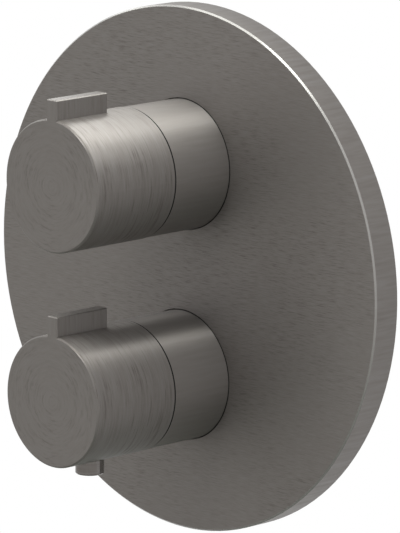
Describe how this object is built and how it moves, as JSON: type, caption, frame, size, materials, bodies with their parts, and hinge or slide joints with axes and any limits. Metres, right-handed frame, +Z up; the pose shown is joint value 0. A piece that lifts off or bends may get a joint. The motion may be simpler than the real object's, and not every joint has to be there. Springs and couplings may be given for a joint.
{
  "type": "concealed thermostatic shower valve",
  "caption": "Round brushed gunmetal cover plate with two finned round handles, a safety button below the lower one, and a concealed brass valve body behind the wall.",
  "frame": {"origin": "the middle of the cover plate's back, on the finished wall plane", "axes": "+X to the right as seen from the front, +Y into the wall, +Z up"},
  "size_m": [0.2, 0.1381, 0.2],
  "materials": {
    "gunmetal_trim": "brushed, dark grey vapour-deposited coat",
    "cast_brass": "as cast, blasted",
    "machined_brass": "turned",
    "zinc_steel": "zinc plated",
    "stainless_steel": "bright turned",
    "spring_steel": "drawn wire",
    "black_rubber": "moulded rubber",
    "grey_foam": "closed-cell foam",
    "white_ceramic": "lapped ceramic",
    "grey_ceramic": "lapped ceramic",
    "black_plastic": "moulded, glass filled",
    "white_plastic": "moulded acetal",
    "copper_capsule": "drawn copper"
  },
  "bodies": {
    "fixed_valve": {"cover_plate": "gunmetal_trim", "plate_gasket": "grey_foam", "plate_orings": "black_rubber", "flow_sleeve": "gunmetal_trim", "temperature_sleeve": "gunmetal_trim", "sleeve_orings": "black_rubber", "valve_body": "cast_brass", "mounting_bracket": "zinc_steel", "bracket_screws": "zinc_steel", "duct_plug": "machined_brass", "hot_inlet_union": "machined_brass", "cold_inlet_union": "machined_brass", "left_outlet_union": "machined_brass", "right_outlet_union": "machined_brass", "union_orings": "black_rubber", "hot_check_housing": "white_plastic", "cold_check_housing": "white_plastic", "inlet_strainers": "stainless_steel", "hot_check_spring": "spring_steel", "cold_check_spring": "spring_steel", "flow_cartridge_housing": "machined_brass", "flow_cartridge_base": "white_plastic", "flow_fixed_disc": "grey_ceramic", "retaining_nuts": "machined_brass", "cartridge_seals": "black_rubber", "thermo_housing": "machined_brass", "thermo_barrel": "black_plastic", "thermo_end_cage": "black_plastic", "stop_ring": "white_plastic", "return_spring": "spring_steel"},
    "flow_control": {"flow_handle": "gunmetal_trim", "flow_adapter": "white_plastic", "flow_adapter_screw": "stainless_steel", "flow_grub_screw": "stainless_steel", "flow_spindle": "machined_brass", "flow_spindle_clip": "stainless_steel", "flow_spindle_orings": "black_rubber", "flow_disc_driver": "white_plastic", "flow_moving_disc": "white_ceramic"},
    "temperature_control": {"temperature_handle": "gunmetal_trim", "temperature_adapter": "white_plastic", "temperature_adapter_screw": "stainless_steel", "temperature_grub_screw": "stainless_steel", "thermo_spindle": "machined_brass", "thermo_spindle_clip": "stainless_steel", "thermo_spindle_orings": "black_rubber", "button_spring": "spring_steel"},
    "safety_button": {"button_cap": "gunmetal_trim", "stop_slider": "black_plastic"},
    "thermo_carrier": {"adjusting_nut": "machined_brass", "overload_spring": "spring_steel", "spring_cup": "machined_brass", "cup_clip": "stainless_steel", "wax_piston": "stainless_steel"},
    "thermo_shuttle": {"wax_element": "copper_capsule", "shuttle": "black_plastic", "shuttle_oring": "black_rubber"},
    "hot_check": {"hot_check_poppet": "black_plastic"},
    "cold_check": {"cold_check_poppet": "black_plastic"}
  },
  "joints": [
    {"name": "flow_handle_turn", "type": "hinge", "parent": "fixed_valve", "child": "flow_control", "pos_m": [0, -0.059, 0.0404], "axis": [0, -1, 0], "range_deg": [-90, 90]},
    {"name": "temperature_handle_turn", "type": "hinge", "parent": "fixed_valve", "child": "temperature_control", "pos_m": [0, -0.059, -0.0404], "axis": [0, -1, 0], "range_deg": [-180, 90]},
    {"name": "safety_button_press", "type": "slide", "parent": "temperature_control", "child": "safety_button", "axis": [0, 0, 1], "range_m": [0, 0.0025], "stiffness_N_per_m": 400, "springref_m": -0.003, "deforming": ["button_spring"]},
    {"name": "thermo_carrier_slide", "type": "slide", "parent": "fixed_valve", "child": "thermo_carrier", "axis": [0, -1, 0], "range_m": [-0.00105, 0.00055]},
    {"name": "thermo_shuttle_slide", "type": "slide", "parent": "thermo_carrier", "child": "thermo_shuttle", "axis": [0, -1, 0], "range_m": [-0.0004, 0.0004], "stiffness_N_per_m": 2000, "deforming": ["return_spring"]},
    {"name": "hot_check_slide", "type": "slide", "parent": "fixed_valve", "child": "hot_check", "axis": [1, 0, 0], "range_m": [0, 0.0025], "stiffness_N_per_m": 100, "springref_m": -0.002, "deforming": ["hot_check_spring"]},
    {"name": "cold_check_slide", "type": "slide", "parent": "fixed_valve", "child": "cold_check", "axis": [-1, 0, 0], "range_m": [0, 0.0025], "stiffness_N_per_m": 100, "springref_m": -0.002, "deforming": ["cold_check_spring"]}
  ],
  "couplings": [
    {"joint": "thermo_carrier_slide", "follows": "temperature_handle_turn", "m_per_rad": 0.00031831}
  ]
}
